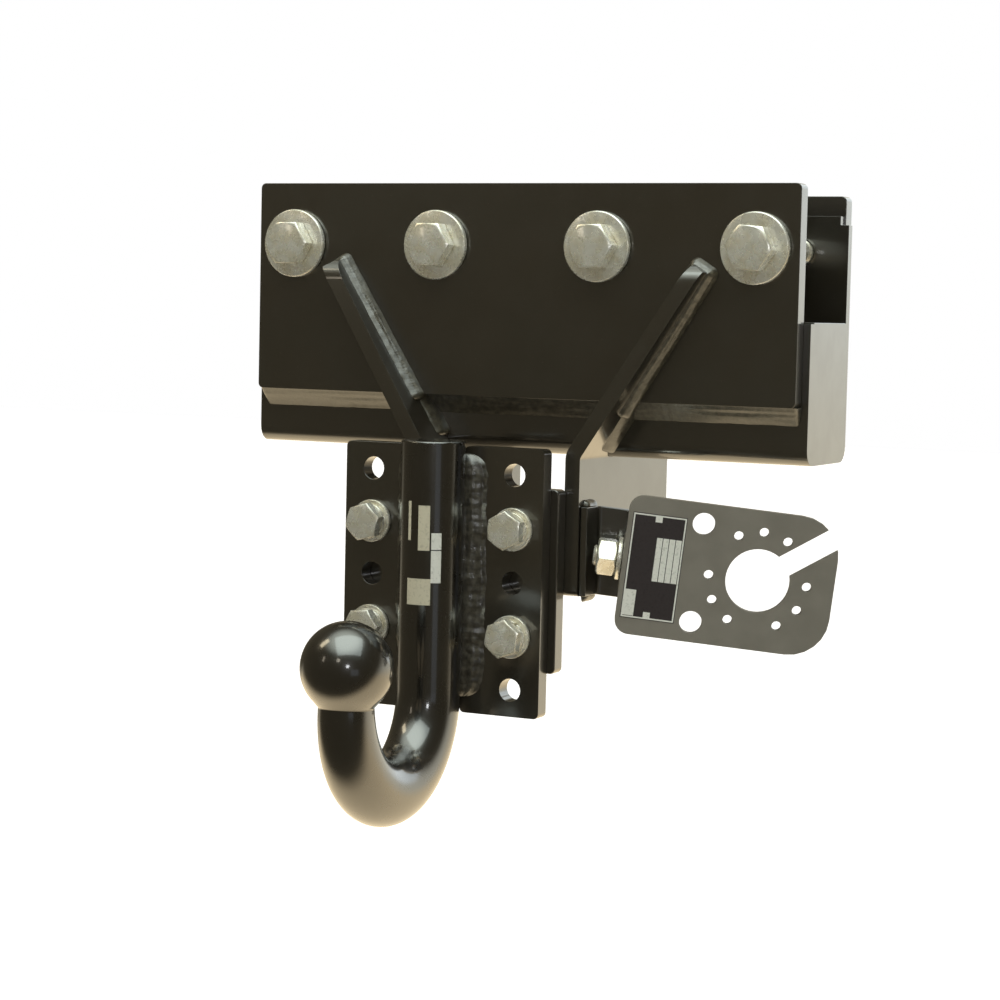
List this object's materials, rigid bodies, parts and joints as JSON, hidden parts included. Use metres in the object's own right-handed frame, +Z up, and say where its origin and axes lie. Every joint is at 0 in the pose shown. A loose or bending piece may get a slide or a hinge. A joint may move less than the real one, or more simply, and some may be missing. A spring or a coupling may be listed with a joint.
{
  "type": "adjustable tow hitch",
  "caption": "Clamp-on tow hitch: plates and channel bolted round a crossmember, a height-adjustable swan neck with ball, and a swivelling trailer socket plate.",
  "frame": {"origin": "centre of the line of the four clamp bolts, on the front plate's back face, where the vehicle's crossmember bears", "axes": "+X across the vehicle to the socket plate's side, +Y forward under the vehicle, along the clamp bolts, +Z up; the tow ball stands out towards -Y"},
  "size_m": [0.3655, 0.2814, 0.3545],
  "materials": {
    "black_paint": "glossy black paint over steel",
    "satin_paint": "satin grey-black coating over sheet steel",
    "painted_weld": "rippled weld bead under glossy black paint",
    "zinc": "bright zinc plating with a slight yellow passivate"
  },
  "bodies": {
    "frame": {"front_plate": "black_paint", "channel": "black_paint", "end_cap_left": "black_paint", "end_cap_right": "black_paint", "rear_plate": "black_paint", "gusset_left": "black_paint", "gusset_right": "black_paint", "frame_weld": "painted_weld", "receiver_plate": "black_paint", "receiver_weld_left": "painted_weld", "receiver_weld_right": "painted_weld", "clamp_bolt_1": "zinc", "clamp_bolt_2": "zinc", "clamp_bolt_3": "zinc", "clamp_bolt_4": "zinc", "clamp_washer_front_1": "zinc", "clamp_washer_front_2": "zinc", "clamp_washer_front_3": "zinc", "clamp_washer_front_4": "zinc", "clamp_washer_rear_1": "zinc", "clamp_washer_rear_2": "zinc", "clamp_washer_rear_3": "zinc", "clamp_washer_rear_4": "zinc", "clamp_nut_1": "zinc", "clamp_nut_2": "zinc", "clamp_nut_3": "zinc", "clamp_nut_4": "zinc", "socket_arm": "black_paint", "arm_weld_top": "painted_weld", "arm_weld_bottom": "painted_weld", "socket_bolt": "zinc", "socket_washer_head": "zinc", "socket_washer_nut": "zinc", "socket_nut": "zinc"},
    "neck_carriage": {"flange_left": "black_paint", "flange_right": "black_paint", "swan_neck": "black_paint", "neck_weld_left": "painted_weld", "neck_weld_right": "painted_weld", "neck_bolt_1": "zinc", "neck_bolt_2": "zinc", "neck_bolt_3": "zinc", "neck_bolt_4": "zinc", "neck_spring_washer_1": "zinc", "neck_spring_washer_2": "zinc", "neck_spring_washer_3": "zinc", "neck_spring_washer_4": "zinc", "neck_washer_front_1": "zinc", "neck_washer_front_2": "zinc", "neck_washer_front_3": "zinc", "neck_washer_front_4": "zinc", "neck_washer_rear_1": "zinc", "neck_washer_rear_2": "zinc", "neck_washer_rear_3": "zinc", "neck_washer_rear_4": "zinc", "neck_nut_1": "zinc", "neck_nut_2": "zinc", "neck_nut_3": "zinc", "neck_nut_4": "zinc"},
    "socket_holder": {"socket_plate": "satin_paint"}
  },
  "joints": [
    {"name": "height_adjust", "type": "slide", "parent": "frame", "child": "neck_carriage", "axis": [0, 0, 1], "range_m": [-0.008, 0.008]},
    {"name": "socket_swivel", "type": "hinge", "parent": "frame", "child": "socket_holder", "pos_m": [0.0784, -0.0238, -0.1731], "axis": [0.9035, 0.4156, -0.1045], "range_deg": [-30, 30]}
  ]
}
